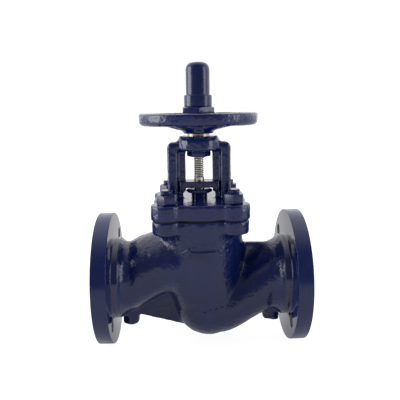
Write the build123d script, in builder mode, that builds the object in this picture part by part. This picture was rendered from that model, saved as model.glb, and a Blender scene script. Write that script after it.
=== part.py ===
"""Flanged globe valve, DN 65, PN 16, with a yoke bonnet, a rising stem and a handwheel that stays at one height.

Units are millimetres. X runs along the pipe and Z up along the stem. The inlet is at +X and leads under the seat;
the outlet is at -X. The valve is modelled closed. Heights below are measured from the pipe axis, and save() lifts
every finished piece by the flange radius, so that the valve stands on Z = 0 with the stem axis through the origin.
"""

import math
import os

from build123d import *

# Pipe ends: face to face length, flange, bolt circle and raised face
FACE_TO_FACE = 290.0
FLANGE_R = 92.5
RIM_T = 20.0
RIM_CHAMFER = 0.8
RAISED_FACE_R = 61.0
RAISED_FACE_T = 3.0
PORT_R = 32.5
BOLT_CIRCLE_R = 72.5
BOLT_HOLE_R = 9.5
HUB_R = 57.0
HUB_L = 9.5
HUB_ROOT_R = 48.0
HUB_ROOT_L = 17.0
FACE_X = FACE_TO_FACE / 2
RIM_X = FACE_X - RAISED_FACE_T
FLANGE_BACK_X = RIM_X - RIM_T
PORT_END_X = 124.0

# Body casting
JOINT_Z = 91.5
BODY_FLANGE_T = 18.2
CHAMBER_R = 48.0
CHAMBER_WIDE_R = 52.2
PARTITION_T = 12.0
BOWL_X = 11.0
BOWL_Z = -40.3
BOWL_OUTER_R = 47.5
BOWL_INNER_R = 38.5
RIB_T = 9.0
UPPER_RIB_Z = 48.0
BOSS_X = 102.0
BOSS_R = 12.0
BOSS_CHAMFER = 2.0
BOSS_BOTTOM_Z = -70.5
BOSS_TOP_Z = -30.0

# Bonnet joint
GASKET_T = 2.0
BONNET_FLANGE_T = 20.0
BONNET_Z = JOINT_Z + GASKET_T
BONNET_TOP_Z = BONNET_Z + BONNET_FLANGE_T
STUD_OFFSET = 44.3
JOINT_DISC_R = 63.5
JOINT_CORNER_R = 21.3
BODY_FLANGE_INSET = 1.3
GASKET_INSET = 2.6
SPIGOT_R = 47.7
SPIGOT_Z = 88.0
STUD_R = 8.0
STUD_HOLE_R = 9.0
STUD_DEPTH = 16.0
STUD_TOP_Z = 132.5
BONNET_NUT_AF = 24.0
BONNET_NUT_H = 13.0

# Seat and plug
SEAT_RING_R = 37.5
SEAT_BORE_R = 31.0
SEAT_FACE_Z = 3.0
CLOSED_GAP = 0.02
PLUG_R = 36.0
PLUG_Z = SEAT_FACE_Z + CLOSED_GAP
SEAL_IN_R = 31.5
SEAL_OUT_R = 35.0
SEAL_H = 3.5
PLUG_HUB_R = 18.5
PLUG_NUT_R = 14.0
PLUG_NUT_Z = 24.5
PLUG_NUT_TOP_Z = 35.0
PLUG_POCKET_Z = 15.0

# Stem and its stuffing box
LIFT = 21.0
STEM_R = 7.0
STEM_TOP_Z = 270.5
STEM_HEAD_R = 11.0
BACK_SEAT_R = 10.0
BACK_SEAT_Z = 43.0
THREAD_PITCH = 3.0
THREAD_DEPTH = 1.75
THREAD_Z = 143.0
THREAD_TURNS = 42
BOX_R = 11.0
BOX_BOTTOM_Z = 80.0
BOX_HUB_R = 18.0
BOX_HUB_BOTTOM_Z = BACK_SEAT_Z + LIFT + 0.2
BUSH_BORE_R = 7.05
PACKING_BORE_R = 7.02
PACKING_H = 4.4
PACKING_COUNT = 5
PACKING_TOP_Z = BOX_BOTTOM_Z + PACKING_H * PACKING_COUNT
GLAND_RING_H = 4.0
GLAND_SHANK_Z = PACKING_TOP_Z + GLAND_RING_H
GLAND_HEAD_Z = 121.5
GLAND_TOP_Z = 127.0
GLAND_AF = 32.0
GLAND_BORE_R = 7.4

# Yoke
PILLAR_OUT_X = 43.5
PILLAR_IN_X = 29.0
PILLAR_HALF_Y = 13.0
WEB_IN_X = 18.7
WEB_FOOT_IN_X = 22.5
WEB_FOOT_Z = 123.0
WEB_HALF_Y = 6.0
PILLAR_TOP_Z = 192.0
PILLAR_CORNER_R = 8.0
HEAD_R = 29.0
HEAD_Z = 180.5
HEAD_SHOULDER_Z = 193.5
HEAD_TOP_Z = 200.0
HEAD_TOP_R = 26.7
HEAD_BORE_R = 13.0

# Drive sleeve and what it carries
SLEEVE_R = 12.95
SLEEVE_FOOT_R = 10.0
SLEEVE_FOOT_Z = 170.5
SLEEVE_BORE_R = 7.05
THRUST_WASHER_R = 15.2
THRUST_WASHER_T = 1.2
LOWER_WASHER_T = 1.5
LOCK_NUT_AF = 28.5
LOCK_NUT_H = 7.0
COLLAR_R = 15.2
COLLAR_Z = HEAD_TOP_Z + THRUST_WASHER_T
COLLAR_TOP_Z = COLLAR_Z + 2.0
WHEEL_SEAT_R = 12.5
SLEEVE_TOP_R = 11.0
SLEEVE_TOP_Z = 252.0
KEY_W = 5.0
KEY_L = 16.0
KEY_Z = 205.0

# Handwheel
WHEEL_R = 80.6
RIM_SECTION_W = 17.5
RIM_SECTION_H = 16.0
RIM_TOP_CORNER_R = 2.8
RIM_FOOT_CORNER_R = 6.0
RIM_LEAN = 0.8
RIM_TOP_Z = 230.5
WHEEL_HUB_R = 21.2
WHEEL_HUB_TOP_Z = 226.0
SPOKE_COUNT = 5
SPOKE_ROOT_X = 14.0
SPOKE_TIP_X = 72.0
WHEEL_NUT_AF = 42.0
WHEEL_NUT_H = 13.0
WHEEL_NUT_TOP_Z = WHEEL_HUB_TOP_Z + WHEEL_NUT_H

# Cap over the stem
CAP_COLLAR_R = 19.0
CAP_COLLAR_TOP_Z = 254.5
CAP_R = 16.15
CAP_TOP_Z = 297.5
CAP_DOME_R = 10.5
CAP_BORE_R = 9.0
CAP_BORE_TOP_Z = 293.5

# Guide on the stem
GUIDE_TOP_Z = 138.0
GUIDE_HUB_Z = 129.2
GUIDE_SHOE_Z = 123.5
GUIDE_HUB_X = 13.0
GUIDE_ARCH = (20.0, 127.8)
GUIDE_SHOE_X = 23.0
GUIDE_HALF_X = 27.5
GUIDE_HALF_Y = 12.0
GUIDE_GAP = 0.4
SCREW_Z = 134.0
SCREW_R = 3.0
SCREW_AF = 10.0
SCREW_HEAD_H = 4.5
SCREW_TIP_Y = -5.5

# Level sections of the body above the bowl: height, centre along X, radius
BARREL_SKIN = [(JOINT_Z - 15, 0, 58.5), (45, 0, 60), (15, 1, 58.5), (-15, 5, 53), (-38, 10, 46.8)]
# Sections across each passage: place along X, height, half width, half height, tilt in degrees
OUTLET_SKIN = [
    (-119, 0, 51, 51, 0),
    (-104, 2, 50, 49.5, 6),
    (-88, 9, 49.5, 46.5, 14),
    (-62, 20, 52.5, 44, 16),
    (-28, 26, 56.5, 42, 6),
]
INLET_SKIN = [
    (119, 0, 51, 51, 0),
    (104, -1.5, 49, 49, 8),
    (86, -12, 46.5, 42, 22),
    (66, -24, 45, 38, 32),
    (44, -36, 45.5, 39, 28),
    (18, -40, 46, 45, 8),
]
OUTLET_BORE = [
    (-PORT_END_X, 0, PORT_R, PORT_R, 0),
    (-104, 3, 34, 34, 8),
    (-80, 12, 36, 35, 16),
    (-38, 29, 38, 27, 10),
]
INLET_BORE = [
    (PORT_END_X, 0, PORT_R, PORT_R, 0),
    (104, -3, 33, 33, 8),
    (80, -17, 32, 30, 22),
    (56, -37, 33, 26, 24),
    (18, -40, 32, 30, 6),
]
LOWER_SPACE = [(-PARTITION_T, 2, 33.5), (BOWL_Z, BOWL_X, BOWL_INNER_R)]

CORNERS = [(sx * STUD_OFFSET, sy * STUD_OFFSET) for sx in (-1, 1) for sy in (-1, 1)]


def save(part, name):
    """Lifts a finished piece to its place above the floor, labels it and writes it as one STEP file."""
    lifted = part.moved(Location((0, 0, FLANGE_R)))
    lifted.label = name
    export_step(lifted, f"parts/{name}.step")


def section_plane(x, z, tilt):
    """A plane across the pipe axis at (x, z), turned by tilt degrees about Y."""
    turn = math.radians(tilt)
    return Plane(origin=(x, 0, z), x_dir=(0, 1, 0), z_dir=(math.cos(turn), 0, math.sin(turn)))


def joint_outline(inset):
    """The square joint's outline, drawn inset from the bonnet flange: a disc with a round lug at each stud."""
    with BuildSketch() as outline:
        Circle(JOINT_DISC_R - inset)
        with Locations(*CORNERS):
            Circle(JOINT_CORNER_R - inset)
        fillet(outline.vertices(), 7)
    return outline.sketch


def turned(points):
    """A turned piece from its half profile of (radius, height) points."""
    with BuildPart() as made:
        with BuildSketch(Plane.XZ):
            with BuildLine():
                Polyline(*points, close=True)
            make_face()
        revolve(axis=Axis.Z)
    return made.part


def ring(inner_r, outer_r, z, height):
    """A plain ring standing on height z."""
    return turned([(inner_r, z), (outer_r, z), (outer_r, z + height), (inner_r, z + height)])


def hex_nut(across_flats, height, bore_r, z, turn=0, face_share=0.48):
    """A hexagon nut with its corners chamfered at both ends, down to face_share times the width across flats."""
    corner_r = across_flats / math.sqrt(3)
    face_r = across_flats * face_share
    drop = (corner_r - face_r) * math.tan(math.radians(30))
    with BuildPart() as made:
        with BuildSketch(Plane.XY.offset(z)):
            RegularPolygon(corner_r, 6, rotation=turn)
            Circle(bore_r, mode=Mode.SUBTRACT)
        extrude(amount=height)
        with BuildSketch(Plane.XZ):
            with BuildLine():
                Polyline(
                    (0, z),
                    (face_r, z),
                    (corner_r, z + drop),
                    (corner_r, z + height - drop),
                    (face_r, z + height),
                    (0, z + height),
                    close=True,
                )
            make_face()
        revolve(axis=Axis.Z, mode=Mode.INTERSECT)
    return made.part


os.makedirs("parts", exist_ok=True)

# Body: skins first, then the flanges, ribs and bosses, then everything that is cored or drilled out
with BuildPart() as body:
    for height, centre, radius in BARREL_SKIN:
        with BuildSketch(Plane.XY.offset(height)):
            with Locations((centre, 0)):
                Circle(radius)
    loft()
    with Locations((BOWL_X, 0, BOWL_Z)):
        Sphere(BOWL_OUTER_R)
    for skin in (OUTLET_SKIN, INLET_SKIN):
        for x, z, half_width, half_height, tilt in skin:
            with BuildSketch(section_plane(x, z, tilt)):
                Ellipse(half_width, half_height)
        loft()
    with BuildSketch(Plane.XZ):
        with BuildLine():
            Polyline((40, UPPER_RIB_Z), (FLANGE_BACK_X, UPPER_RIB_Z), (FLANGE_BACK_X, 0), (40, -10), close=True)
        make_face()
        with BuildLine():
            Polyline((-10, -78), (-BOSS_X, -54), (-BOSS_X, -20), (-10, -20), close=True)
        make_face()
    extrude(amount=RIB_T / 2, both=True)
    for side in (-1, 1):
        with BuildSketch(Plane.XZ):
            with BuildLine():
                Polyline(
                    (side * (FLANGE_BACK_X - HUB_ROOT_L), 0),
                    (side * (FLANGE_BACK_X - HUB_ROOT_L), HUB_ROOT_R),
                    (side * (FLANGE_BACK_X - HUB_L), HUB_R),
                    (side * FLANGE_BACK_X, HUB_R),
                    (side * FLANGE_BACK_X, FLANGE_R - RIM_CHAMFER),
                    (side * (FLANGE_BACK_X + RIM_CHAMFER), FLANGE_R),
                    (side * (RIM_X - RIM_CHAMFER), FLANGE_R),
                    (side * RIM_X, FLANGE_R - RIM_CHAMFER),
                    (side * RIM_X, RAISED_FACE_R),
                    (side * FACE_X, RAISED_FACE_R),
                    (side * FACE_X, 0),
                    close=True,
                )
            make_face()
        revolve(axis=Axis.X)
        with BuildSketch(Plane.YZ.offset(side * FLANGE_BACK_X)):
            with PolarLocations(BOLT_CIRCLE_R, 4, start_angle=45):
                Circle(BOLT_HOLE_R)
        extrude(amount=side * RIM_T, mode=Mode.SUBTRACT)
        with Locations((side * BOSS_X, 0, BOSS_BOTTOM_Z)):
            Cone(BOSS_R - BOSS_CHAMFER, BOSS_R, BOSS_CHAMFER, align=(Align.CENTER, Align.CENTER, Align.MIN))
        with BuildSketch(Plane.XY.offset(BOSS_BOTTOM_Z + BOSS_CHAMFER)):
            with Locations((side * BOSS_X, 0)):
                Circle(BOSS_R)
        extrude(amount=BOSS_TOP_Z - BOSS_BOTTOM_Z - BOSS_CHAMFER)
    with BuildSketch(Plane.XY.offset(JOINT_Z - BODY_FLANGE_T)):
        add(joint_outline(BODY_FLANGE_INSET))
    extrude(amount=BODY_FLANGE_T)
    with BuildSketch(Plane.XZ):
        with BuildLine():
            Polyline(
                (0, 0),
                (CHAMBER_R - 1, 0),
                (CHAMBER_WIDE_R, 16),
                (CHAMBER_WIDE_R, 60),
                (CHAMBER_R, 70),
                (CHAMBER_R, JOINT_Z),
                (0, JOINT_Z),
                close=True,
            )
        make_face()
    revolve(axis=Axis.Z, mode=Mode.SUBTRACT)
    for bore in (OUTLET_BORE, INLET_BORE):
        for x, z, half_width, half_height, tilt in bore:
            with BuildSketch(section_plane(x, z, tilt)):
                Ellipse(half_width, half_height)
        loft(mode=Mode.SUBTRACT)
    for side in (-1, 1):
        with BuildSketch(Plane.YZ.offset(side * PORT_END_X)):
            Circle(PORT_R)
        extrude(amount=side * (FACE_X - PORT_END_X), mode=Mode.SUBTRACT)
    for height, centre, radius in LOWER_SPACE:
        with BuildSketch(Plane.XY.offset(height)):
            with Locations((centre, 0)):
                Circle(radius)
    loft(mode=Mode.SUBTRACT)
    with Locations((BOWL_X, 0, BOWL_Z)):
        Sphere(BOWL_INNER_R, mode=Mode.SUBTRACT)
    with BuildSketch(Plane.XY.offset(-PARTITION_T)):
        Circle(SEAT_RING_R)
    extrude(amount=PARTITION_T, mode=Mode.SUBTRACT)
    with BuildSketch(Plane.XY.offset(JOINT_Z)):
        with Locations(*CORNERS):
            Circle(STUD_R)
    extrude(amount=-STUD_DEPTH, mode=Mode.SUBTRACT)
save(body.part, "body")

# Yoke frame, made on its own so that its outline can be rounded before it joins the bonnet
with BuildPart() as yoke_frame:
    with BuildSketch(Plane.XZ) as frame_face:
        with Locations((0, (BONNET_Z + 5 + PILLAR_TOP_Z) / 2)):
            Rectangle(2 * PILLAR_OUT_X, PILLAR_TOP_Z - BONNET_Z - 5)
        fillet(frame_face.vertices().group_by(Axis.Y)[-1], PILLAR_CORNER_R)
        with Locations((0, (BONNET_Z + HEAD_Z) / 2)):
            Rectangle(2 * PILLAR_IN_X, HEAD_Z - BONNET_Z, mode=Mode.SUBTRACT)
    extrude(amount=PILLAR_HALF_Y, both=True)
    fillet(yoke_frame.edges().group_by(Axis.Y)[0], 4.5)
    fillet(yoke_frame.edges().group_by(Axis.Y)[-1], 4.5)

with BuildPart() as bonnet:
    with BuildSketch(Plane.XY.offset(BONNET_Z)):
        add(joint_outline(0))
    extrude(amount=BONNET_FLANGE_T)
    fillet(bonnet.edges().group_by(Axis.Z)[-1], 2)
    add(yoke_frame.part)
    with BuildSketch(Plane.XZ):
        with Locations((0, (BONNET_Z + 5 + HEAD_Z) / 2)):
            Rectangle(2 * PILLAR_IN_X + 4, HEAD_Z - BONNET_Z)
            Rectangle(2 * WEB_IN_X, HEAD_Z - BONNET_Z + 10, mode=Mode.SUBTRACT)
        with Locations((0, BONNET_TOP_Z)):
            Rectangle(2 * WEB_FOOT_IN_X, 2 * (WEB_FOOT_Z - BONNET_TOP_Z), mode=Mode.SUBTRACT)
    extrude(amount=WEB_HALF_Y, both=True)
    with BuildSketch(Plane.XZ):
        with BuildLine():
            Polyline(
                (0, HEAD_Z),
                (HEAD_R - 1.5, HEAD_Z),
                (HEAD_R, HEAD_Z + 1.5),
                (HEAD_R, HEAD_SHOULDER_Z),
                (HEAD_TOP_R, HEAD_TOP_Z - 1),
                (HEAD_TOP_R - 1, HEAD_TOP_Z),
                (0, HEAD_TOP_Z),
                close=True,
            )
        make_face()
        with BuildLine():
            Polyline(
                (0, BOX_HUB_BOTTOM_Z),
                (BOX_HUB_R, BOX_HUB_BOTTOM_Z),
                (BOX_HUB_R + 3, SPIGOT_Z),
                (SPIGOT_R, SPIGOT_Z),
                (SPIGOT_R, BONNET_TOP_Z),
                (0, BONNET_TOP_Z),
                close=True,
            )
        make_face()
    revolve(axis=Axis.Z)
    with BuildSketch(Plane.XY.offset(HEAD_Z)):
        Circle(HEAD_BORE_R)
    extrude(amount=HEAD_TOP_Z - HEAD_Z, mode=Mode.SUBTRACT)
    with BuildSketch(Plane.XY.offset(BOX_HUB_BOTTOM_Z)):
        Circle(BOX_R)
    extrude(amount=BONNET_TOP_Z - BOX_HUB_BOTTOM_Z, mode=Mode.SUBTRACT)
    with BuildSketch(Plane.XY.offset(BONNET_Z)):
        with Locations(*CORNERS):
            Circle(STUD_HOLE_R)
    extrude(amount=BONNET_FLANGE_T, mode=Mode.SUBTRACT)
save(bonnet.part, "bonnet")

with BuildPart() as bonnet_gasket:
    with BuildSketch(Plane.XY.offset(JOINT_Z)):
        add(joint_outline(GASKET_INSET))
        Circle(CHAMBER_R, mode=Mode.SUBTRACT)
        with Locations(*CORNERS):
            Circle(STUD_HOLE_R, mode=Mode.SUBTRACT)
    extrude(amount=GASKET_T)
save(bonnet_gasket.part, "bonnet_gasket")

with BuildPart() as bonnet_studs:
    with BuildSketch(Plane.XY.offset(JOINT_Z - STUD_DEPTH)):
        with Locations(*CORNERS):
            Circle(STUD_R)
    extrude(amount=STUD_TOP_Z - JOINT_Z + STUD_DEPTH)
    chamfer(bonnet_studs.edges().group_by(Axis.Z)[-1], 1.2)
save(bonnet_studs.part, "bonnet_studs")

stud_nut = hex_nut(BONNET_NUT_AF, BONNET_NUT_H, STUD_R, BONNET_TOP_Z, turn=20)
with BuildPart() as bonnet_nuts:
    with Locations(*CORNERS):
        add(stud_nut)
save(bonnet_nuts.part, "bonnet_nuts")

# Seat, plug and its seal
save(ring(SEAT_BORE_R, SEAT_RING_R, -PARTITION_T, PARTITION_T + SEAT_FACE_Z), "seat_ring")
save(
    turned(
        [
            (0, PLUG_Z),
            (SEAL_IN_R, PLUG_Z),
            (SEAL_IN_R, PLUG_Z + SEAL_H),
            (SEAL_OUT_R, PLUG_Z + SEAL_H),
            (SEAL_OUT_R, PLUG_Z),
            (PLUG_R, PLUG_Z),
            (PLUG_R, 11),
            (PLUG_HUB_R + 2, 17),
            (PLUG_HUB_R, 20),
            (PLUG_HUB_R, PLUG_NUT_TOP_Z - 0.5),
            (PLUG_NUT_R, PLUG_NUT_TOP_Z - 0.5),
            (PLUG_NUT_R, PLUG_NUT_Z),
            (STEM_HEAD_R + 0.5, PLUG_NUT_Z),
            (STEM_HEAD_R + 0.5, PLUG_POCKET_Z),
            (0, PLUG_POCKET_Z),
        ]
    ),
    "plug",
)
save(ring(SEAL_IN_R, SEAL_OUT_R, PLUG_Z, SEAL_H), "plug_seal")
save(ring(STEM_R + 0.5, PLUG_NUT_R, PLUG_NUT_Z, PLUG_NUT_TOP_Z - PLUG_NUT_Z), "plug_nut")

# Stem: head in the plug, back seat cone, plain shank, and a trapezoidal thread drawn as grooves
thread_profile = []
for turn in range(THREAD_TURNS):
    z = THREAD_Z + turn * THREAD_PITCH
    thread_profile += [
        (STEM_R, z),
        (STEM_R - THREAD_DEPTH, z + 0.45),
        (STEM_R - THREAD_DEPTH, z + 1.45),
        (STEM_R, z + 1.9),
    ]
with BuildPart() as stem:
    with BuildSketch(Plane.XZ):
        with BuildLine():
            Polyline(
                (0, PLUG_POCKET_Z + 0.02),
                (STEM_HEAD_R - 4, PLUG_POCKET_Z + 0.02),
                (STEM_HEAD_R, PLUG_POCKET_Z + 1.5),
                (STEM_HEAD_R, PLUG_NUT_Z - 0.2),
                (STEM_R, PLUG_NUT_Z - 0.2),
                (STEM_R, PLUG_NUT_TOP_Z + 2),
                (BACK_SEAT_R, PLUG_NUT_TOP_Z + 2),
                (BACK_SEAT_R, BACK_SEAT_Z - 3),
                (STEM_R, BACK_SEAT_Z),
                *thread_profile,
                (STEM_R, STEM_TOP_Z - 1),
                (STEM_R - 1, STEM_TOP_Z),
                (0, STEM_TOP_Z),
                close=True,
            )
        make_face()
    revolve(axis=Axis.Z)
    with BuildSketch(Plane.XZ.offset(-SCREW_TIP_Y)):
        with Locations((0, SCREW_Z)):
            Circle(SCREW_R)
    extrude(amount=STEM_R, mode=Mode.SUBTRACT)
save(stem.part, "stem")

# Stuffing box
save(ring(BUSH_BORE_R, BOX_R, BOX_HUB_BOTTOM_Z, BOX_BOTTOM_Z - BOX_HUB_BOTTOM_Z), "back_seat_bush")
packing_ring = ring(PACKING_BORE_R, BOX_R, BOX_BOTTOM_Z, PACKING_H - 0.02)
with BuildPart() as packing_rings:
    with Locations([(0, 0, PACKING_H * number) for number in range(PACKING_COUNT)]):
        add(packing_ring)
save(packing_rings.part, "packing_rings")
save(ring(BUSH_BORE_R, BOX_R, PACKING_TOP_Z, GLAND_RING_H), "gland_ring")
gland_head = hex_nut(GLAND_AF, GLAND_TOP_Z - GLAND_HEAD_Z, GLAND_BORE_R, GLAND_HEAD_Z)
with BuildPart() as gland_nut:
    add(gland_head)
    with BuildSketch(Plane.XY.offset(GLAND_SHANK_Z)):
        Circle(BOX_R)
        Circle(GLAND_BORE_R, mode=Mode.SUBTRACT)
    extrude(amount=GLAND_HEAD_Z - GLAND_SHANK_Z)
save(gland_nut.part, "gland_nut")

# Guide fixed on the stem: a bar arched underneath, with shoes that are forked round the webs of the pillars
with BuildPart() as guide:
    with BuildSketch(Plane.XZ):
        with BuildLine():
            ThreePointArc((GUIDE_HUB_X, GUIDE_HUB_Z), GUIDE_ARCH, (GUIDE_SHOE_X, GUIDE_SHOE_Z))
            Polyline(
                (GUIDE_SHOE_X, GUIDE_SHOE_Z),
                (GUIDE_HALF_X, GUIDE_SHOE_Z),
                (GUIDE_HALF_X, GUIDE_TOP_Z),
                (0, GUIDE_TOP_Z),
                (0, GUIDE_HUB_Z),
                (GUIDE_HUB_X, GUIDE_HUB_Z),
            )
        make_face()
        mirror(about=Plane.YZ)
    extrude(amount=GUIDE_HALF_Y, both=True)
    fillet(guide.edges().filter_by(Axis.Z).group_by(Axis.X)[0], 3)
    fillet(guide.edges().filter_by(Axis.Z).group_by(Axis.X)[-1], 3)
    with BuildSketch(Plane.XY.offset(GUIDE_SHOE_Z)):
        with Locations((-GUIDE_HALF_X, 0), (GUIDE_HALF_X, 0)):
            Rectangle(2 * (GUIDE_HALF_X - WEB_IN_X + GUIDE_GAP), 2 * (WEB_HALF_Y + GUIDE_GAP))
    extrude(amount=GUIDE_TOP_Z - GUIDE_SHOE_Z, mode=Mode.SUBTRACT)
    with BuildSketch(Plane.XY.offset(GUIDE_SHOE_Z)):
        Circle(STEM_R)
    extrude(amount=GUIDE_TOP_Z - GUIDE_SHOE_Z, mode=Mode.SUBTRACT)
    with BuildSketch(Plane.XZ):
        with Locations((0, SCREW_Z)):
            Circle(SCREW_R)
    extrude(amount=GUIDE_HALF_Y, mode=Mode.SUBTRACT)
save(guide.part, "guide")

with BuildPart() as guide_screw:
    with BuildSketch(Plane.XZ.offset(-SCREW_TIP_Y)):
        with Locations((0, SCREW_Z)):
            Circle(SCREW_R)
    extrude(amount=GUIDE_HALF_Y + SCREW_TIP_Y)
    with BuildSketch(Plane.XZ.offset(GUIDE_HALF_Y)):
        with Locations((0, SCREW_Z)):
            RegularPolygon(SCREW_AF / math.sqrt(3), 6)
    extrude(amount=SCREW_HEAD_H)
    chamfer(guide_screw.edges().group_by(Axis.Y)[0], 0.6)
save(guide_screw.part, "guide_screw")

# Drive: sleeve, thrust washers, lock nut and key
with BuildPart() as yoke_sleeve:
    with BuildSketch(Plane.XZ):
        with BuildLine():
            Polyline(
                (SLEEVE_BORE_R, SLEEVE_FOOT_Z),
                (SLEEVE_FOOT_R - 1, SLEEVE_FOOT_Z),
                (SLEEVE_FOOT_R, SLEEVE_FOOT_Z + 1),
                (SLEEVE_FOOT_R, HEAD_Z + 0.5),
                (SLEEVE_R, HEAD_Z + 0.5),
                (SLEEVE_R, COLLAR_Z),
                (COLLAR_R, COLLAR_Z),
                (COLLAR_R, COLLAR_TOP_Z),
                (WHEEL_SEAT_R, COLLAR_TOP_Z),
                (WHEEL_SEAT_R, WHEEL_HUB_TOP_Z - 0.5),
                (SLEEVE_TOP_R, WHEEL_HUB_TOP_Z - 0.5),
                (SLEEVE_TOP_R, SLEEVE_TOP_Z),
                (SLEEVE_BORE_R, SLEEVE_TOP_Z),
                close=True,
            )
        make_face()
    revolve(axis=Axis.Z)
    with Locations((WHEEL_SEAT_R, 0, KEY_Z + KEY_L / 2)):
        Box(KEY_W, KEY_W, KEY_L, mode=Mode.SUBTRACT)
save(yoke_sleeve.part, "yoke_sleeve")
save(ring(HEAD_BORE_R, THRUST_WASHER_R, HEAD_TOP_Z, THRUST_WASHER_T), "upper_thrust_washer")
save(ring(SLEEVE_FOOT_R, LOCK_NUT_AF / 2, HEAD_Z - LOWER_WASHER_T, LOWER_WASHER_T), "lower_thrust_washer")
lock_nut_z = HEAD_Z - LOWER_WASHER_T - LOCK_NUT_H
save(hex_nut(LOCK_NUT_AF, LOCK_NUT_H, SLEEVE_FOOT_R, lock_nut_z, turn=56, face_share=0.54), "lock_nut")
with BuildPart() as handwheel_key:
    with Locations((WHEEL_SEAT_R, 0, KEY_Z + KEY_L / 2)):
        Box(KEY_W, KEY_W, KEY_L)
save(handwheel_key.part, "handwheel_key")

# Handwheel: one spoke, then the hub, rim and all the spokes
with BuildPart() as spoke:
    with BuildSketch(Plane.YZ.offset(SPOKE_ROOT_X)):
        with Locations((0, 209.5)):
            Ellipse(9, 5)
    with BuildSketch(Plane.YZ.offset(SPOKE_TIP_X)):
        with Locations((0, 222)):
            Ellipse(6.5, 4.5)
    loft()
with BuildPart() as handwheel:
    with BuildSketch(Plane.XZ) as rim_section:
        with BuildLine():
            Polyline(
                (WHEEL_R - RIM_SECTION_W, RIM_TOP_Z),
                (WHEEL_R, RIM_TOP_Z),
                (WHEEL_R - RIM_LEAN, RIM_TOP_Z - RIM_SECTION_H),
                (WHEEL_R - RIM_SECTION_W + RIM_LEAN, RIM_TOP_Z - RIM_SECTION_H),
                close=True,
            )
        make_face()
        fillet(rim_section.vertices().group_by(Axis.Y)[-1], RIM_TOP_CORNER_R)
        fillet(rim_section.vertices().group_by(Axis.Y)[0], RIM_FOOT_CORNER_R)
    with BuildSketch(Plane.XZ):
        with BuildLine():
            Polyline(
                (0, COLLAR_TOP_Z),
                (WHEEL_HUB_R - 1.5, COLLAR_TOP_Z),
                (WHEEL_HUB_R, COLLAR_TOP_Z + 1.5),
                (WHEEL_HUB_R, WHEEL_HUB_TOP_Z - 1.5),
                (WHEEL_HUB_R - 1.5, WHEEL_HUB_TOP_Z),
                (0, WHEEL_HUB_TOP_Z),
                close=True,
            )
        make_face()
    revolve(axis=Axis.Z)
    with PolarLocations(0, SPOKE_COUNT, start_angle=90):
        add(spoke.part)
    with BuildSketch(Plane.XY.offset(COLLAR_TOP_Z)):
        Circle(WHEEL_SEAT_R)
        with Locations((WHEEL_SEAT_R, 0)):
            Rectangle(KEY_W + 0.4, KEY_W)
    extrude(amount=WHEEL_HUB_TOP_Z - COLLAR_TOP_Z, mode=Mode.SUBTRACT)
save(handwheel.part, "handwheel")
save(hex_nut(WHEEL_NUT_AF, WHEEL_NUT_H, SLEEVE_TOP_R, WHEEL_HUB_TOP_Z, turn=32), "handwheel_nut")

with BuildPart() as cap:
    with BuildSketch(Plane.XZ):
        with BuildLine():
            Polyline(
                (0, CAP_TOP_Z),
                (0, CAP_BORE_TOP_Z),
                (CAP_BORE_R - 1.2, CAP_BORE_TOP_Z),
                (CAP_BORE_R, CAP_BORE_TOP_Z - 1.2),
                (CAP_BORE_R, SLEEVE_TOP_Z),
                (SLEEVE_TOP_R, SLEEVE_TOP_Z),
                (SLEEVE_TOP_R, WHEEL_NUT_TOP_Z),
                (CAP_COLLAR_R - 0.8, WHEEL_NUT_TOP_Z),
                (CAP_COLLAR_R, WHEEL_NUT_TOP_Z + 0.8),
                (CAP_COLLAR_R, CAP_COLLAR_TOP_Z - 1.6),
                (CAP_COLLAR_R - 1.6, CAP_COLLAR_TOP_Z),
                (CAP_R, CAP_COLLAR_TOP_Z),
                (CAP_R, CAP_TOP_Z - CAP_DOME_R),
            )
            JernArc((CAP_R, CAP_TOP_Z - CAP_DOME_R), (0, 1), CAP_DOME_R, 90)
            Line((CAP_R - CAP_DOME_R, CAP_TOP_Z), (0, CAP_TOP_Z))
        make_face()
    revolve(axis=Axis.Z)
save(cap.part, "cap")
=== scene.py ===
"""Looks of the globe valve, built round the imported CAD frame.

Blender's units are metres; sizes given to the helpers are in millimetres.
"""

import math

import bmesh
import bpy
import numpy as np
from mathutils import Matrix, Vector, noise
from mathutils.bvhtree import BVHTree


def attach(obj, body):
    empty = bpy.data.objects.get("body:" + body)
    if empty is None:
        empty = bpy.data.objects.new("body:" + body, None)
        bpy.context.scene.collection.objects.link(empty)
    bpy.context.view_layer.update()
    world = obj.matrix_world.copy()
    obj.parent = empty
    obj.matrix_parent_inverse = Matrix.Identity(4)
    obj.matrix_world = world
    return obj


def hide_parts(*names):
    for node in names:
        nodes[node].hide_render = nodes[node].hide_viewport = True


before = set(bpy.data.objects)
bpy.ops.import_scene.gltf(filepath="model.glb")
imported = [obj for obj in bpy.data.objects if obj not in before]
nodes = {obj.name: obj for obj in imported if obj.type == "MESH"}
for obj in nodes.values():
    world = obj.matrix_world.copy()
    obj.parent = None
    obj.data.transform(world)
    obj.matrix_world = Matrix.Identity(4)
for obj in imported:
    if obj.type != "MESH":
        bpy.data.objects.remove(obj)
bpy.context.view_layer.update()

MM = 0.001
PIPE_Z = 92.5  # height of the pipe axis above the floor
NAVY = (0.0024, 0.0108, 0.088, 1)

# Sizes in millimetres, with heights from the pipe axis. End flanges:
FLANGE_R = 92.5
FLANGE_BACK_X = 122.0
FLANGE_FRONT_X = 142.0
FACE_X = 145.0
PORT_R = 32.5
RAISED_FACE_R = 61.0
HUB_R = 57.35
HUB_START_X = 112.6
BOLT_HOLE_R = 9.5
BOLT_OFFSET = 72.5 * math.sqrt(0.5)
BOLT_CENTRES = [(sy * BOLT_OFFSET, sz * BOLT_OFFSET) for sy in (-1, 1) for sz in (-1, 1)]

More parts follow.
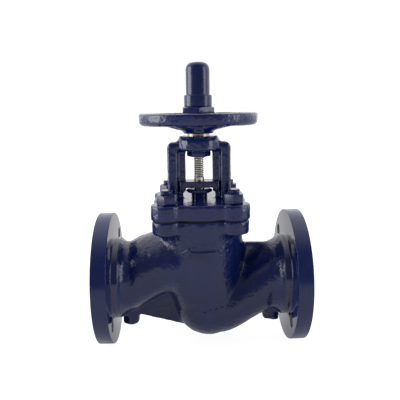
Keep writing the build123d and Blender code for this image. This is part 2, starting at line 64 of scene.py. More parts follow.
# Body
CASTING_END_X = 123.5  # the casting ends just inside the flange discs
JOINT_Z = 91.5
CHAMBER_R = 52.2
SEAT_Z = -6.0
BOWL_X = 11.0
BOWL_Z = -40.3
WAIST_X = 99.0
WAIST_DEPTH = 2.6  # hollow beside each hub
PASSAGES = (  # middle lines, as (x, height) points
    [(-124, 0), (-104, 3), (-80, 12), (-38, 29)],
    [(124, 0), (104, -3), (80, -17), (56, -37), (18, -40)],
)

# Bonnet, yoke and wheel
BONNET_TOP_Z = 113.5
STUD_OFFSET = 44.3
STUD_CENTRES = [(sx * STUD_OFFSET, sy * STUD_OFFSET) for sx in (-1, 1) for sy in (-1, 1)]
STUD_HOLE_R = 9.0
STUD_R = 8.0
BOX_R = 11.0
HEAD_BORE_R = 13.0
HEAD_TOP_Z = 200.0
WHEEL_HUB_BOTTOM_Z = 204.0
WHEEL_HUB_TOP_Z = 226.0

# Stem
STEM_R = 7.0
STEM_HEAD_R = 11.0
STEM_TOP_Z = 270.5
BACK_SEAT_R = 10.0
BACK_SEAT_Z = 43.0
THREAD_Z = 142.0
THREAD_DEPTH = 1.75
THREAD_PITCH = 3.0
SCREW_Z = 134.0
SCREW_R = 3.0

# Cap
CAP_R = 16.15
CAP_TOP_Z = 297.5
CAP_COLLAR_R = 19.0
CAP_COLLAR_TOP_Z = 254.5
CAP_FOOT_Z = 239.0
CAP_BORE_R = 9.0
SLEEVE_TOP_R = 11.0
SLEEVE_TOP_Z = 252.0
CAP_BORE_TOP_Z = 293.5


# ---------------------------------------------------------------- mesh helpers
def link(mesh, name):
    """A new object for a mesh, in the scene."""
    obj = bpy.data.objects.new(name, mesh)
    bpy.context.scene.collection.objects.link(obj)
    return obj


def finish_mesh(bm, name):
    """Turns a bmesh into a linked object, with all normals facing out."""
    bm.normal_update()
    bmesh.ops.recalc_face_normals(bm, faces=bm.faces)
    mesh = bpy.data.meshes.new(name)
    bm.to_mesh(mesh)
    bm.free()
    return link(mesh, name)


def copy_of(node, name):
    """A new object with a CAD node's shape, its seams welded."""
    mesh = nodes[node].data.copy()
    mesh.name = name
    mesh.materials.clear()
    obj = link(mesh, name)
    bm = bmesh.new()
    bm.from_mesh(mesh)
    bmesh.ops.remove_doubles(bm, verts=bm.verts, dist=1e-6)
    bm.to_mesh(mesh)
    bm.free()
    return obj


def apply_modifiers(obj):
    """Makes an object's modifiers part of its mesh."""
    depsgraph = bpy.context.evaluated_depsgraph_get()
    depsgraph.update()
    mesh = bpy.data.meshes.new_from_object(obj.evaluated_get(depsgraph))
    obj.modifiers.clear()
    old = obj.data
    obj.data = mesh
    bpy.data.meshes.remove(old)


def boolean(obj, other, operation):
    """Applies a boolean with another object, then removes that object."""
    mod = obj.modifiers.new("cut", "BOOLEAN")
    mod.operation = operation
    mod.object = other
    mod.solver = "MANIFOLD"
    apply_modifiers(obj)
    bpy.data.objects.remove(other)


def voxel(obj, size):
    """Remeshes an object into even cells of the given size."""
    mod = obj.modifiers.new("remesh", "REMESH")
    mod.mode = "VOXEL"
    mod.voxel_size = size * MM
    mod.adaptivity = 0
    apply_modifiers(obj)


def shade(obj, angle=None):
    """Smooth shading, broken at edges sharper than the angle."""
    mesh = obj.data
    mesh.shade_smooth()
    if angle is not None:
        mesh.set_sharp_from_angle(angle=math.radians(angle))


def bevelled(node, name, width, segments=3, angle=28):
    """A copy of a CAD node with its sharp edges rounded."""
    obj = copy_of(node, name)
    bm = bmesh.new()
    bm.from_mesh(obj.data)
    bmesh.ops.dissolve_limit(bm, angle_limit=math.radians(0.6), verts=bm.verts, edges=bm.edges)
    bm.to_mesh(obj.data)
    bm.free()
    mod = obj.modifiers.new("bevel", "BEVEL")
    mod.width = width * MM
    mod.segments = segments
    mod.limit_method = "ANGLE"
    mod.angle_limit = math.radians(angle)
    apply_modifiers(obj)
    shade(obj, 32)
    return obj


def spin(bm, points, steps, axis="Z"):
    """Adds a surface turned from (radius, height) points and gives back its rings of vertices."""
    rings = []
    for r, h in points:
        if r < 1e-6:
            rings.append([bm.verts.new(place(0, 0, h, axis))])
            continue
        angles = [2 * math.pi * k / steps for k in range(steps)]
        rings.append([bm.verts.new(place(r * math.cos(a), r * math.sin(a), h, axis)) for a in angles])
    return rings


def bridge(bm, a, b):
    """Faces between two rings, either of which may be a single point."""
    if len(a) == 1 and len(b) == 1:
        return
    steps = max(len(a), len(b))
    for k in range(steps):
        n = (k + 1) % steps
        if len(a) == 1:
            bm.faces.new((a[0], b[n], b[k]))
        elif len(b) == 1:
            bm.faces.new((a[k], a[n], b[0]))
        else:
            bm.faces.new((a[k], a[n], b[n], b[k]))


def lathe(points, name, steps=128, axis="Z"):
    """A closed turned solid from (radius, height) points, turned about Z or X."""
    bm = bmesh.new()
    rings = spin(bm, points, steps, axis)
    for a, b in zip(rings, rings[1:] + rings[:1]):
        bridge(bm, a, b)
    return finish_mesh(bm, name)


def place(x, y, h, axis):
    """A point h along the axis: X runs along the pipe, Y from front to back, and Z along the stem."""
    if axis == "X":
        return Vector((h, x, y + PIPE_Z)) * MM
    if axis == "Y":
        return Vector((x, h, y + PIPE_Z)) * MM
    return Vector((x, y, h + PIPE_Z)) * MM


def rounded(points, steps=5):
    """The same outline, each corner listed as (r, h, reach) cut by an arc that starts reach away from it."""
    out = []
    count = len(points)
    for i, point in enumerate(points):
        here = np.array(point[:2], float)
        if len(point) < 3:
            out.append((here[0], here[1]))
            continue
        before = np.array(points[i - 1][:2]) - here
        after = np.array(points[(i + 1) % count][:2]) - here
        start = here + before / np.linalg.norm(before) * point[2]
        end = here + after / np.linalg.norm(after) * point[2]
        for k in range(steps + 1):
            t = k / steps
            p = start * (1 - t) ** 2 + here * 2 * t * (1 - t) + end * t * t
            out.append((float(p[0]), float(p[1])))
    return out


def box_object(low, high):
    """A block between two corners, used as a cutting tool."""
    bm = bmesh.new()
    bmesh.ops.create_cube(bm, size=1)
    for v in bm.verts:
        for i in range(3):
            v.co[i] = (low[i] if v.co[i] < 0 else high[i]) * MM
    return finish_mesh(bm, "box")


def rod(radius, low, high, centres=((0, 0),), axis="Z", steps=64):
    """Plain parallel cylinders used together as one cutting tool; centres are given across the axis."""
    bm = bmesh.new()
    size = {"radius1": radius, "radius2": radius, "depth": high - low}
    for x, y in centres:
        made = bmesh.ops.create_cone(bm, cap_ends=True, segments=steps, **size)
        bmesh.ops.translate(bm, verts=made["verts"], vec=(x, y, (low + high) / 2))
    for v in bm.verts:
        v.co = place(*v.co, axis)
    return finish_mesh(bm, "rod")


def screw(name, below, above, thread, centres=((0, 0),), steps=48):
    """Turned rods with a real helical thread between their lower and upper lathe outlines.

    thread is (radius, depth, pitch, hand, flat): hand is 1 for right and -1 for left, and flat is the crest's
    share of the pitch.
    """
    radius, depth, pitch, hand, flat = thread
    low, high = below[-1][1], above[0][1]
    slope = (1 - 2 * flat) / 2
    marks = [0, flat, flat + slope, 2 * flat + slope]
    levels = [0, 0, 1, 1]
    turns = math.ceil((high - low) / pitch) + 2
    bm = bmesh.new()
    for cx, cy in centres:
        first, last = spin(bm, below, steps), spin(bm, above, steps)
        for rings in (first, last):
            for a, b in zip(rings, rings[1:]):
                bridge(bm, a, b)
        columns = []
        for k in range(steps + 1):
            turn = 2 * math.pi * k / steps
            column = []
            for n in range(-1, turns):
                for mark, level in zip(marks, levels):
                    raw = low + (n + mark + hand * k / steps) * pitch
                    z = min(max(raw, low), high)
                    fade = min(1, (z - low) / pitch, (high - z) / pitch)
                    r = radius - depth * level * max(fade, 0)
                    if raw <= low or raw >= high:
                        r = radius
                    column.append(bm.verts.new(place(r * math.cos(turn), r * math.sin(turn), z, "Z")))
            columns.append(column)
        for a, b in zip(columns, columns[1:]):
            for j in range(len(a) - 1):
                bm.faces.new((a[j], b[j], b[j + 1], a[j + 1]))
        moved = [v for v in bm.verts if not v.tag]
        for v in moved:
            v.co += Vector((cx, cy, 0)) * MM
            v.tag = True
    bmesh.ops.remove_doubles(bm, verts=bm.verts, dist=2e-6)
    bmesh.ops.dissolve_degenerate(bm, edges=bm.edges, dist=1e-6)
    return finish_mesh(bm, name)


# ---------------------------------------------------------------- casting surface
def arrays(mesh):
    """A mesh's vertex positions in metres, and the vertex pair of each edge."""
    co = np.empty(len(mesh.vertices) * 3)
    mesh.vertices.foreach_get("co", co)
    edges = np.empty(len(mesh.edges) * 2, dtype=np.int64)
    mesh.edges.foreach_get("vertices", edges)
    return co.reshape(-1, 3), edges.reshape(-1, 2)


def millimetres(obj):
    """Vertex positions in millimetres as x, y and z, with z measured from the pipe axis."""
    co, _ = arrays(obj.data)
    x, y, z = co.T / MM
    return x, y, z - PIPE_Z


def put(mesh, co):
    """Writes vertex positions back."""
    mesh.vertices.foreach_set("co", co.reshape(-1))
    mesh.update()


def normals_of(mesh):
    """The normal at each vertex."""
    n = np.empty(len(mesh.vertices) * 3)
    mesh.vertex_normals.foreach_get("vector", n)
    return n.reshape(-1, 3)


def neighbour_mean(co, edges, count):
    """The mean position of each vertex's neighbours."""
    total = np.zeros_like(co)
    for i in range(3):
        total[:, i] = np.bincount(edges[:, 0], co[edges[:, 1], i], count)
        total[:, i] += np.bincount(edges[:, 1], co[edges[:, 0], i], count)
    degree = np.bincount(edges.reshape(-1), minlength=count)
    return total / np.maximum(degree, 1)[:, None]


def fillet_hollows(obj, rounds, weight, general=2):
    """Fills sharp hollows as a foundry fillet does, then relaxes everything a little."""
    mesh = obj.data
    co, edges = arrays(mesh)
    count = len(co)
    for _ in range(general):
        co += (neighbour_mean(co, edges, count) - co) * 0.5 * weight[:, None]
        put(mesh, co)
    for step in range(rounds):
        if step % 4 == 0:
            put(mesh, co)
            normal = normals_of(mesh)
        pull = neighbour_mean(co, edges, count) - co
        out = np.einsum("ij,ij->i", pull, normal)
        gain = np.where(out > 0, 0.9, 0.12)
        co += pull * (gain * weight)[:, None]
    put(mesh, co)


def rough_cast(obj, weight, wave=0.4, lump=0.2, grain=0.2, seed=0.0):
    """Foundry unevenness along the normals: broad waves, lumps, then grains that mostly stand proud."""
    mesh = obj.data
    co, _ = arrays(mesh)
    normal = normals_of(mesh)
    push = np.zeros(len(co))
    for i in np.nonzero(weight > 0)[0]:
        q = Vector(co[i]) / MM + Vector((0, seed, 0))
        sand = max(noise.noise(q * 0.42), -0.2)
        push[i] = wave * noise.noise(q * 0.04) + lump * noise.noise(q * 0.15) + grain * sand
    co += normal * (push * weight * MM)[:, None]
    put(mesh, co)


def smoothstep(x, low, high):
    """0 below low, 1 above high and a soft step between."""
    t = np.clip((x - low) / (high - low), 0, 1)
    return t * t * (3 - 2 * t)


# ---------------------------------------------------------------- materials
def new_material(name):
    """An empty material with one principled shader."""
    mat = bpy.data.materials.new(name)
    mat.use_nodes = True
    tree = mat.node_tree
    tree.nodes.clear()
    out = tree.nodes.new("ShaderNodeOutputMaterial")
    shader = tree.nodes.new("ShaderNodeBsdfPrincipled")
    tree.links.new(shader.outputs[0], out.inputs[0])
    return mat, tree, shader


def noise_node(tree, scale, detail=3, rough=0.5, distortion=0.0):
    """Noise in the object's own metres."""
    coord = tree.nodes.new("ShaderNodeTexCoord")
    node = tree.nodes.new("ShaderNodeTexNoise")
    node.inputs["Scale"].default_value = scale
    node.inputs["Detail"].default_value = detail
    node.inputs["Roughness"].default_value = rough
    node.inputs["Distortion"].default_value = distortion
    tree.links.new(coord.outputs["Object"], node.inputs["Vector"])
    return node.outputs[0]


def ramp(tree, source, low, high, a, b):
    """The source taken from the range low to high onto a to b."""
    node = tree.nodes.new("ShaderNodeMapRange")
    for key, value in zip(("From Min", "From Max", "To Min", "To Max"), (low, high, a, b)):
        node.inputs[key].default_value = value
    tree.links.new(source, node.inputs["Value"])
    return node.outputs[0]


def mix_colour(tree, factor, a, b):
    """Colour a where factor is 0, and b where it is 1."""
    node = tree.nodes.new("ShaderNodeMix")
    node.data_type = "RGBA"
    node.inputs[6].default_value = a
    node.inputs[7].default_value = b
    tree.links.new(factor, node.inputs[0])
    return node.outputs[2]


def bump_chain(tree, shader, layers, coat=False):
    """Bump layers of (height socket, depth in millimetres, strength), finest last."""
    last = None
    for height, depth, strength in layers:
        node = tree.nodes.new("ShaderNodeBump")
        node.inputs["Distance"].default_value = depth * MM
        node.inputs["Strength"].default_value = strength
        tree.links.new(height, node.inputs["Height"])
        if last:
            tree.links.new(last, node.inputs["Normal"])
        last = node.outputs[0]
    tree.links.new(last, shader.inputs["Normal"])
    if coat:
        tree.links.new(last, shader.inputs["Coat Normal"])


def scaled(colour, gain, lift=0.0):
    """A colour made brighter by gain, then raised by lift."""
    return tuple(min(1, c * gain + lift) for c in colour[:3]) + (1,)


def paint(name, lumps, grain, pits, rough=0.16, coat=0.3, coat_rough=0.08):
    """Thick navy enamel over uneven metal, with sand grain, orange peel and a tone that wanders a little."""
    mat, tree, shader = new_material(name)
    tone = ramp(tree, noise_node(tree, 18, 4), 0.35, 0.7, 0, 1)
    tree.links.new(mix_colour(tree, tone, NAVY, scaled(NAVY, 1.3, 0.0012)), shader.inputs["Base Color"])
    sheen = noise_node(tree, 60, 4, 0.6)
    tree.links.new(ramp(tree, sheen, 0.3, 0.75, rough * 0.7, rough * 1.7), shader.inputs["Roughness"])
    shader.inputs["IOR"].default_value = 1.5
    shader.inputs["Coat Weight"].default_value = coat
    shader.inputs["Coat Roughness"].default_value = coat_rough
    layers = [
        (noise_node(tree, 90, 3, 0.55, 0.3), lumps, 0.6),
        (noise_node(tree, 330, 4, 0.62), pits, 0.6),
        (noise_node(tree, 900, 2), grain, 0.5),
    ]
    bump_chain(tree, shader, layers, coat=True)
    return mat


def metal(name, colour, rough, lines=0.2, scale=300, dark=0.7, root_shade=None):
    """Turned metal: cloudy tone and roughness, and fine lines round the stem axis.

    A thread given its (root radius, crest radius) gets painted shade in its grooves, darker towards the root.
    """
    mat, tree, shader = new_material(name)
    shader.inputs["Metallic"].default_value = 1
    tone = ramp(tree, noise_node(tree, scale * 0.2, 4, 0.6), 0.3, 0.7, 0, 1)
    clean = mix_colour(tree, tone, scaled(colour, dark), colour)
    fine = noise_node(tree, scale, 3)
    tree.links.new(ramp(tree, fine, 0.3, 0.7, rough * 0.7, rough * 1.4), shader.inputs["Roughness"])
    coord = tree.nodes.new("ShaderNodeTexCoord")
    split = tree.nodes.new("ShaderNodeSeparateXYZ")
    tree.links.new(coord.outputs["Object"], split.inputs[0])
    # painted shade in the thread roots: the colour darkens towards the root radius to stand in for shadow
    # between the teeth
    if root_shade:
        flat = tree.nodes.new("ShaderNodeCombineXYZ")
        tree.links.new(split.outputs[0], flat.inputs[0])
        tree.links.new(split.outputs[1], flat.inputs[1])
        length = tree.nodes.new("ShaderNodeVectorMath")
        length.operation = "LENGTH"
        tree.links.new(flat.outputs[0], length.inputs[0])
        out_of_shade = ramp(tree, length.outputs["Value"], root_shade[0] * MM, root_shade[1] * MM, 0, 1)
        groove_shade = tree.nodes.new("ShaderNodeMix")
        groove_shade.data_type = "RGBA"
        groove_shade.inputs[6].default_value = scaled(colour, 0.1)
        tree.links.new(clean, groove_shade.inputs[7])
        tree.links.new(out_of_shade, groove_shade.inputs[0])
        clean = groove_shade.outputs[2]
        shader.inputs["Specular Tint"].default_value = (0.12, 0.12, 0.12, 1)
    tree.links.new(clean, shader.inputs["Base Color"])
    turned = tree.nodes.new("ShaderNodeTexNoise")
    turned.noise_dimensions = "1D"
    turned.inputs["Scale"].default_value = 2500
    turned.inputs["Detail"].default_value = 2
    tree.links.new(split.outputs[2], turned.inputs["W"])
    bump_chain(tree, shader, [(fine, 0.05, 0.3), (turned.outputs[0], 0.03, lines)])
    return mat


def faced_metal(name, colour, pitch, depth):
    """Metal faced on a lathe about the pipe axis: rings of the given pitch, as on a sealing face."""
    mat, tree, shader = new_material(name)
    shader.inputs["Metallic"].default_value = 1
    coord = tree.nodes.new("ShaderNodeTexCoord")
    shift = tree.nodes.new("ShaderNodeVectorMath")
    shift.operation = "MULTIPLY_ADD"
    shift.inputs[1].default_value = (0, 1, 1)
    shift.inputs[2].default_value = (0, 0, -PIPE_Z * MM)
    tree.links.new(coord.outputs["Object"], shift.inputs[0])
    length = tree.nodes.new("ShaderNodeVectorMath")
    length.operation = "LENGTH"
    tree.links.new(shift.outputs[0], length.inputs[0])
    wave = tree.nodes.new("ShaderNodeMath")
    wave.operation = "PINGPONG"
    wave.inputs[1].default_value = pitch * MM / 2
    tree.links.new(length.outputs["Value"], wave.inputs[0])
    height = ramp(tree, wave.outputs[0], 0, pitch * MM / 2, 0, 1)
    stain = ramp(tree, noise_node(tree, 45, 5, 0.6), 0.35, 0.7, 0, 1)
    tree.links.new(mix_colour(tree, stain, scaled(colour, 0.65), colour), shader.inputs["Base Color"])
    tree.links.new(ramp(tree, noise_node(tree, 200, 3), 0.3, 0.7, 0.25, 0.42), shader.inputs["Roughness"])
    bump_chain(tree, shader, [(height, depth, 0.8), (noise_node(tree, 1500, 2), 0.02, 0.4)])
    return mat


def dull(name, colour, rough, scale=400, depth=0.1, metallic=0.0):
    """A matt, slightly uneven material."""
    mat, tree, shader = new_material(name)
    tone = ramp(tree, noise_node(tree, scale * 0.3, 4), 0.3, 0.7, 0, 1)
    tree.links.new(mix_colour(tree, tone, colour, scaled(colour, 1.5, 0.004)), shader.inputs["Base Color"])
    shader.inputs["Roughness"].default_value = rough
    shader.inputs["Metallic"].default_value = metallic
    bump_chain(tree, shader, [(noise_node(tree, scale, 4, 0.7), depth, 0.6)])
    return mat


CAST = paint("cast_paint", 0.9, 0.08, 0.34, 0.21, 0.3)
BONNET = paint("bonnet_paint", 0.6, 0.06, 0.2, 0.17, 0.3)
SMOOTH = paint("smooth_paint", 0.2, 0.03, 0.05, 0.22, 0.25, 0.16)
GLOSSY = paint("glossy_paint", 0.12, 0.02, 0.03, 0.09, 0.6, 0.04)
WHEEL = paint("wheel_paint", 0.5, 0.06, 0.16, 0.22, 0.35, 0.12)
FASTENER = paint("fastener_paint", 0.3, 0.05, 0.12, 0.2, 0.3)
STEM_STEEL = metal("stem_steel", (0.88, 0.86, 0.77, 1), 0.3, root_shade=(5.1, 6.3))
STAINLESS = metal("stainless", (0.60, 0.60, 0.59, 1), 0.3)
BRASS = metal("sleeve_brass", (0.60, 0.53, 0.33, 1), 0.34)
FACED = faced_metal("faced_iron", (0.42, 0.42, 0.43, 1), 0.8, 0.12)
DRILLED = metal("drilled_iron", (0.5, 0.5, 0.5, 1), 0.4, 0.4)
RAW = dull("raw_casting", (0.09, 0.088, 0.085, 1), 0.5, 500, 0.25, 0.6)
GASKET = dull("gasket_sheet", (0.006, 0.006, 0.007, 1), 0.8)
GRAPHITE = dull("graphite", (0.03, 0.03, 0.03, 1), 0.6, 600, 0.2)
PTFE = dull("ptfe", (0.8, 0.79, 0.76, 1), 0.4, 200, 0.03)


def give(obj, *mats):
    """Replaces an object's materials."""
    obj.data.materials.clear()
    for mat in mats:
        obj.data.materials.append(mat)


def give_by_face(obj, rule, *mats):
    """Sets each face's material from rule(x, y, z), which gets arrays of face centres in millimetres."""
    give(obj, *mats)
    mesh = obj.data
    centres = np.empty(len(mesh.polygons) * 3)
    mesh.polygons.foreach_get("center", centres)
    x, y, z = centres.reshape(-1, 3).T / MM
    mesh.polygons.foreach_set("material_index", rule(x, y, z - PIPE_Z).astype(np.int32))
    mesh.update()


pieces = []


def stand_in(obj, node, body):
    """Lets a finished piece take a CAD node's place on its moving body."""
    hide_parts(node)
    pieces.append((obj, body))


# ---------------------------------------------------------------- body casting
core = copy_of("body", "body_casting")
boolean(core, box_object((-CASTING_END_X, -120, -30), (CASTING_END_X, 120, 230)), "INTERSECT")
voxel(core, 1.45)
x, y, z = millimetres(core)
radial = np.hypot(x, y)
across = np.hypot(y, z)
seat = (radial < 40) & (np.abs(z - SEAT_Z) < 8)
port_end = (across < PORT_R + 1.5) & (np.abs(x) > 116)
machined = (z > JOINT_Z - 1.5) | seat | port_end | (np.abs(x) > HUB_START_X - 1.1)
free = 1.0 - machined.astype(float)
fillet_hollows(core, 34, free, 3)
chamber = (radial < CHAMBER_R + 1.3) & (z > -2) & (z < 88)
passage = (across < 46) & (np.abs(x) > 60)
outer = free * (~(chamber | passage)) * smoothstep(HUB_START_X - 0.1 - np.abs(x), 0, 4)
rough_cast(core, outer, 0.55, 0.3, 0.42, 3.0)
co, _ = arrays(core.data)
x, y, z = millimetres(core)
waist = np.exp(-(((np.abs(x) - WAIST_X) / 8) ** 2)) * outer * smoothstep(np.hypot(y, z), 40, 46)
waist *= np.where(x < 0, smoothstep(z, -45, 25), smoothstep(-z, -40, 20))
ring = np.maximum(np.hypot(y, z), 1)
co[:, 1] -= y / ring * waist * WAIST_DEPTH * MM
co[:, 2] -= z / ring * waist * WAIST_DEPTH * MM
put(core.data, co)
shade(core)


def inside_faces(x, y, z):
    """The chamber, the bowl, and every face near a passage's middle line that looks towards that line."""
    chamber = (np.hypot(x, y) < CHAMBER_R + 1.2) & (z < JOINT_Z + 0.1) & (z > 0)
    bowl = np.hypot(np.hypot(x - BOWL_X, y), z - BOWL_Z) < 41
    normal = np.empty(len(x) * 3)
    core.data.polygons.foreach_get("normal", normal)
    normal = normal.reshape(-1, 3)
    best = np.full(len(x), 1e9)
    looks_in = np.zeros(len(x), bool)
    for line in PASSAGES:
        for (x0, z0), (x1, z1) in zip(line, line[1:]):
            for t in np.linspace(0, 1, 9):
                px, pz = x0 + (x1 - x0) * t, z0 + (z1 - z0) * t
                distance = (x - px) ** 2 + y**2 + (z - pz) ** 2
                facing = normal[:, 0] * (px - x) - normal[:, 1] * y + normal[:, 2] * (pz - z)
                nearer = distance < best
                looks_in[nearer] = facing[nearer] > 0
                best[nearer] = distance[nearer]
    return chamber | bowl | (looks_in & (best < 44**2))


give_by_face(core, inside_faces, CAST, RAW)
stand_in(core, "body", "valve")

flange_outline = rounded(
    [
        (PORT_R, FLANGE_BACK_X + 1.2),
        (54.0, FLANGE_BACK_X + 1.2),
        (54.0, HUB_START_X),
        (HUB_R, HUB_START_X, 1.2),
        (HUB_R, FLANGE_BACK_X, 2.4),
        (FLANGE_R, FLANGE_BACK_X, 1.0),
        (FLANGE_R, FLANGE_FRONT_X, 0.9),
        (RAISED_FACE_R + 0.2, FLANGE_FRONT_X, 0.3),
        (RAISED_FACE_R, FACE_X, 0.4),
        (PORT_R, FACE_X, 0.5),
    ]
)


def disc_faces(x, y, z):
    """The flange's paint, its faced ring, its drilled holes, its rough port and its glossy back."""
    out, ring = np.abs(x), np.hypot(y, z)
    hole = np.hypot(np.abs(y) - BOLT_OFFSET, np.abs(z) - BOLT_OFFSET) < BOLT_HOLE_R + 0.1
    hole &= (out > FLANGE_BACK_X + 0.05) & (out < FLANGE_FRONT_X - 0.05)
    faced = ((out > FACE_X - 0.1) & (ring < RAISED_FACE_R)).astype(int)
    bored = np.where(hole, 2, faced) + 3 * (ring < PORT_R + 0.1)
    return np.where((out < FLANGE_BACK_X + 0.04) & (ring > HUB_R - 0.35), 4, bored)


for side, label in ((1, "inlet_flange"), (-1, "outlet_flange")):
    disc = lathe([(r, side * h) for r, h in flange_outline], label, 192, "X")
    low, high = sorted((side * (FLANGE_BACK_X - 4), side * (FACE_X + 1)))
    boolean(disc, rod(BOLT_HOLE_R, low, high, BOLT_CENTRES, "X"), "DIFFERENCE")
    shade(disc, 25)
    give_by_face(disc, disc_faces, SMOOTH, FACED, DRILLED, RAW, GLOSSY)
    pieces.append((disc, "valve"))


# ---------------------------------------------------------------- raised marks
surface = BVHTree.FromObject(core, bpy.context.evaluated_depsgraph_get())


def relief(name, outlines, height, cell=1.1):
    """Raised marks on the front of the body: outlines of (x, z) points, laid on the casting and thickened."""
    bm = bmesh.new()
    for outline in outlines:
        xs, zs = [p[0] for p in outline], [p[1] for p in outline]
        columns = max(2, round((max(xs) - min(xs)) / cell))
        rows = max(2, round((max(zs) - min(zs)) / cell))
        lower = bmesh.new()
        lower.faces.new([lower.verts.new((px, 0, pz)) for px, pz in outline])
        for axis, count, low, high in ((0, columns, min(xs), max(xs)), (2, rows, min(zs), max(zs))):
            for k in range(1, count):
                point, across_axis = [0, 0, 0], [0, 0, 0]
                point[axis] = low + (high - low) * k / count
                across_axis[axis] = 1
                geom = lower.verts[:] + lower.edges[:] + lower.faces[:]
                bmesh.ops.bisect_plane(lower, geom=geom, plane_co=point, plane_no=across_axis)
        rim = [e for e in lower.edges if e.is_boundary]
        top, foot = {}, {}
        for v in lower.verts:
            start = Vector((v.co.x, -200, v.co.z + PIPE_Z)) * MM
            hit = surface.ray_cast(start, Vector((0, 1, 0)))[0]
            edge = v.is_boundary
            top[v] = bm.verts.new(hit + Vector((0, -height * (0.55 if edge else 1.0), 0)) * MM)
            foot[v] = bm.verts.new(hit + Vector((0, 1.2, 0)) * MM)
        for f in lower.faces:
            bm.faces.new([top[v] for v in f.verts])
            bm.faces.new([foot[v] for v in reversed(f.verts)])
        for e in rim:
            a, b = e.verts
            bm.faces.new((top[a], top[b], foot[b], foot[a]))
        lower.free()
    obj = finish_mesh(bm, name)
    shade(obj, 50)
    return obj


def bar(x, z, width, height, lean=0.0):
    """A plain bar outline centred on (x, z), turned by lean degrees."""
    c, s = math.cos(math.radians(lean)), math.sin(math.radians(lean))
    u1, v1 = width / 2, height / 2
    corners = [(-u1, -v1), (u1, -v1), (u1, v1), (-u1, v1)]
    return [(x + c * u - s * v, z + s * u + c * v) for u, v in corners]


arrow = [
    [(-27, 50), (-15, 42.2), (-15, 57.8)],
    [(-15, 47.6), (26, 47.6), (26, 52.4), (-15, 52.4)],
]
marks = relief("flow_arrow", arrow, 2.0)
give(marks, CAST)
pieces.append((marks, "valve"))
pips = relief("foundry_pips", [bar(4 + 8 * k, -40 + 2.2 * k, 3.6, 5.2, 14) for k in range(6)], 1.0)
give(pips, CAST)
pieces.append((pips, "valve"))

# ---------------------------------------------------------------- bonnet and yoke casting
yoke = copy_of("bonnet", "yoke_casting")
voxel(yoke, 1.05)
x, y, z = millimetres(yoke)
radial = np.hypot(x, y)
gland_box = (radial < BOX_R + 1.5) & (z < BONNET_TOP_Z + 2.5)
sleeve_bore = (radial < HEAD_BORE_R + 2) & (z > 175)
machined = (z < JOINT_Z + 3.1) | gland_box | sleeve_bore | (z > HEAD_TOP_Z - 0.8)
free = 1.0 - machined.astype(float)
fillet_hollows(yoke, 16, free, 2)
x, y, z = millimetres(yoke)
flat_top = (np.abs(z - BONNET_TOP_Z) < 1.2).astype(float)
rough_cast(yoke, free * (1 - 0.75 * flat_top), 0.3, 0.2, 0.26, 9.0)
boolean(yoke, rod(STUD_HOLE_R, 80, 130, STUD_CENTRES), "DIFFERENCE")
boolean(yoke, rod(BOX_R, 60, 117), "DIFFERENCE")
boolean(yoke, rod(HEAD_BORE_R, 170, 210, steps=96), "DIFFERENCE")
shade(yoke, 40)
give(yoke, BONNET)
stand_in(yoke, "bonnet", "valve")

# ---------------------------------------------------------------- handwheel casting
wheel = copy_of("handwheel", "wheel_casting")
voxel(wheel, 0.95)
x, y, z = millimetres(wheel)
radial = np.hypot(x, y)
hub_face = (z > WHEEL_HUB_TOP_Z - 0.8) | (z < WHEEL_HUB_BOTTOM_Z)
machined = (radial < 16) | ((radial < 20.5) & hub_face)
free = 1.0 - machined.astype(float)
fillet_hollows(wheel, 26, free, 2)
rough_cast(wheel, free, 0.25, 0.34, 0.3, 21.0)
shade(wheel)
give(wheel, WHEEL)
stand_in(wheel, "handwheel", "drive")

# ---------------------------------------------------------------- threads, cap and fasteners
stem_foot = [
    (0, 15.02),
    (STEM_R, 15.02),
    (STEM_HEAD_R, 16.5),
    (STEM_HEAD_R, 24.3),
    (STEM_R, 24.3),
    (STEM_R, BACK_SEAT_Z - 6),
    (BACK_SEAT_R, BACK_SEAT_Z - 6),
    (BACK_SEAT_R, BACK_SEAT_Z - 3),
    (STEM_R, BACK_SEAT_Z),
    (STEM_R, THREAD_Z),
]
stem_tip = [
    (STEM_R, STEM_TOP_Z - 1.5),
    (STEM_R, STEM_TOP_Z - 1),
    (STEM_R - 1, STEM_TOP_Z),
    (0, STEM_TOP_Z),
]
stem_thread = (STEM_R, THREAD_DEPTH, THREAD_PITCH, -1, 0.34)
stem = screw("stem_screw", stem_foot, stem_tip, stem_thread)
boolean(stem, rod(SCREW_R, -12, -5.5, [(0, SCREW_Z)], "Y", 48), "DIFFERENCE")
shade(stem, 28)
give(stem, STEM_STEEL)
stand_in(stem, "stem", "stem")

studs = screw(
    "bonnet_stud_screws",
    [(0, 75.5), (STUD_R - 0.6, 75.5), (STUD_R, 76.3), (STUD_R, 116)],
    [(STUD_R, 131.4), (STUD_R - 1.1, 132.5), (0, 132.5)],
    (STUD_R, 1.0, 2.0, 1, 0.16),
    STUD_CENTRES,
    40,
)
shade(studs, 35)
give(studs, FASTENER)
stand_in(studs, "bonnet_studs", "valve")

cap_outline = rounded(
    [
        (0, CAP_TOP_Z),
        (CAP_R, CAP_TOP_Z, 11.5),
        (CAP_R, CAP_COLLAR_TOP_Z, 1.0),
        (CAP_COLLAR_R, CAP_COLLAR_TOP_Z, 1.9),
        (CAP_COLLAR_R, CAP_FOOT_Z, 1.1),
        (SLEEVE_TOP_R, CAP_FOOT_Z),
        (SLEEVE_TOP_R, SLEEVE_TOP_Z),
        (CAP_BORE_R, SLEEVE_TOP_Z),
        (CAP_BORE_R, CAP_BORE_TOP_Z, 1.2),
        (0, CAP_BORE_TOP_Z),
    ],
    9,
)
cap = lathe(cap_outline, "domed_cap", 128)
shade(cap, 30)
give(cap, SMOOTH)
stand_in(cap, "cap", "drive")

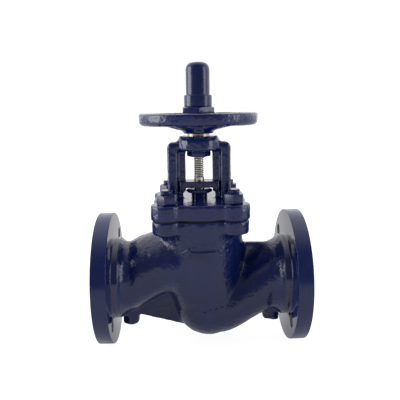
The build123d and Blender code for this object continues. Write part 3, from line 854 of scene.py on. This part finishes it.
for node, name, width, body in (
    ("bonnet_nuts", "bonnet_nuts_rounded", 0.55, "valve"),
    ("handwheel_nut", "handwheel_nut_rounded", 0.7, "drive"),
    ("lock_nut", "lock_nut_rounded", 0.5, "drive"),
    ("gland_nut", "gland_nut_rounded", 0.5, "valve"),
    ("guide", "guide_rounded", 0.8, "stem"),
    ("guide_screw", "guide_screw_rounded", 0.45, "stem"),
):
    obj = bevelled(node, name, width)
    give(obj, FASTENER)
    stand_in(obj, node, body)

# ---------------------------------------------------------------- pieces that keep the CAD shape
NODE_MATERIALS = {
    "bonnet_gasket": GASKET,
    "seat_ring": STAINLESS,
    "plug": STAINLESS,
    "plug_nut": STAINLESS,
    "plug_seal": PTFE,
    "back_seat_bush": STAINLESS,
    "packing_rings": GRAPHITE,
    "gland_ring": STAINLESS,
    "yoke_sleeve": BRASS,
    "upper_thrust_washer": STAINLESS,
    "lower_thrust_washer": FASTENER,
    "handwheel_key": STAINLESS,
}
for node, obj in nodes.items():
    give(obj, NODE_MATERIALS.get(node, CAST))

for obj, body in pieces:
    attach(obj, body)

# ---------------------------------------------------------------- stage, light and camera
bpy.ops.mesh.primitive_plane_add(size=10, location=(0, 0, -0.0001))
floor = bpy.context.object
floor.name = "floor"
floor_mat, tree, shader = new_material("white_paper")
shader.inputs["Base Color"].default_value = (0.35, 0.35, 0.35, 1)
shader.inputs["Roughness"].default_value = 0.95
shader.inputs["Emission Color"].default_value = (1, 1, 1, 1)
seen = tree.nodes.new("ShaderNodeLightPath")
glow = ramp(tree, seen.outputs["Is Camera Ray"], 0, 1, 0.32, 0.93)
tree.links.new(glow, shader.inputs["Emission Strength"])
give(floor, floor_mat)

world = bpy.data.worlds.new("studio")
bpy.context.scene.world = world
world.use_nodes = True
sky = world.node_tree
background = sky.nodes["Background"]
background.inputs[0].default_value = (1, 1, 1, 1)
coord = sky.nodes.new("ShaderNodeTexCoord")
split = sky.nodes.new("ShaderNodeSeparateXYZ")
sky.links.new(coord.outputs["Generated"], split.inputs[0])
room = ramp(sky, split.outputs[1], -0.55, 0.25, 0.15, 1.15)
path = sky.nodes.new("ShaderNodeLightPath")
choose = sky.nodes.new("ShaderNodeMix")
choose.inputs[3].default_value = 1.05
sky.links.new(path.outputs["Is Camera Ray"], choose.inputs[0])
sky.links.new(room, choose.inputs[2])
sky.links.new(choose.outputs[0], background.inputs[1])


def area(name, place_at, target, width, height, power):
    """A rectangular softbox that faces a point."""
    light = bpy.data.lights.new(name, "AREA")
    light.energy = power
    light.shape = "RECTANGLE"
    light.size = width
    light.size_y = height
    obj = bpy.data.objects.new(name, light)
    bpy.context.scene.collection.objects.link(obj)
    obj.location = place_at
    obj.rotation_euler = (Vector(target) - Vector(place_at)).to_track_quat("-Z", "Y").to_euler()
    return obj


area("left_softbox", (-1.25, -0.10, 0.50), (0, 0, 0.17), 0.8, 1.0, 9.5)
area("right_softbox", (1.12, -0.43, 0.50), (0, 0, 0.17), 0.45, 1.0, 3.8)

# The camera looks at a point near the stem axis from distance millimetres away; angles are in radians
distance = 684.12
azimuth, pitch, roll = -0.0272, 0.1875, 0.0154
look_x, look_z = 0.728, 110.02
level = math.cos(pitch)
back = Vector((math.sin(azimuth) * level, -math.cos(azimuth) * level, math.sin(pitch)))
level_right = Vector((0, 0, 1)).cross(back).normalized()
level_up = back.cross(level_right)
right = math.cos(roll) * level_right - math.sin(roll) * level_up
up = math.sin(roll) * level_right + math.cos(roll) * level_up
camera_data = bpy.data.cameras.new("camera")
camera_data.sensor_width = 36
camera_data.lens = 43.7724
camera_data.clip_start = 0.01
camera = bpy.data.objects.new("camera", camera_data)
bpy.context.scene.collection.objects.link(camera)
turn = Matrix((right, up, back)).transposed().to_4x4()
camera.matrix_world = Matrix.Translation((Vector((look_x, 0, look_z + PIPE_Z)) + back * distance) * MM) @ turn
bpy.context.scene.camera = camera
bpy.context.scene.view_settings.view_transform = "Standard"
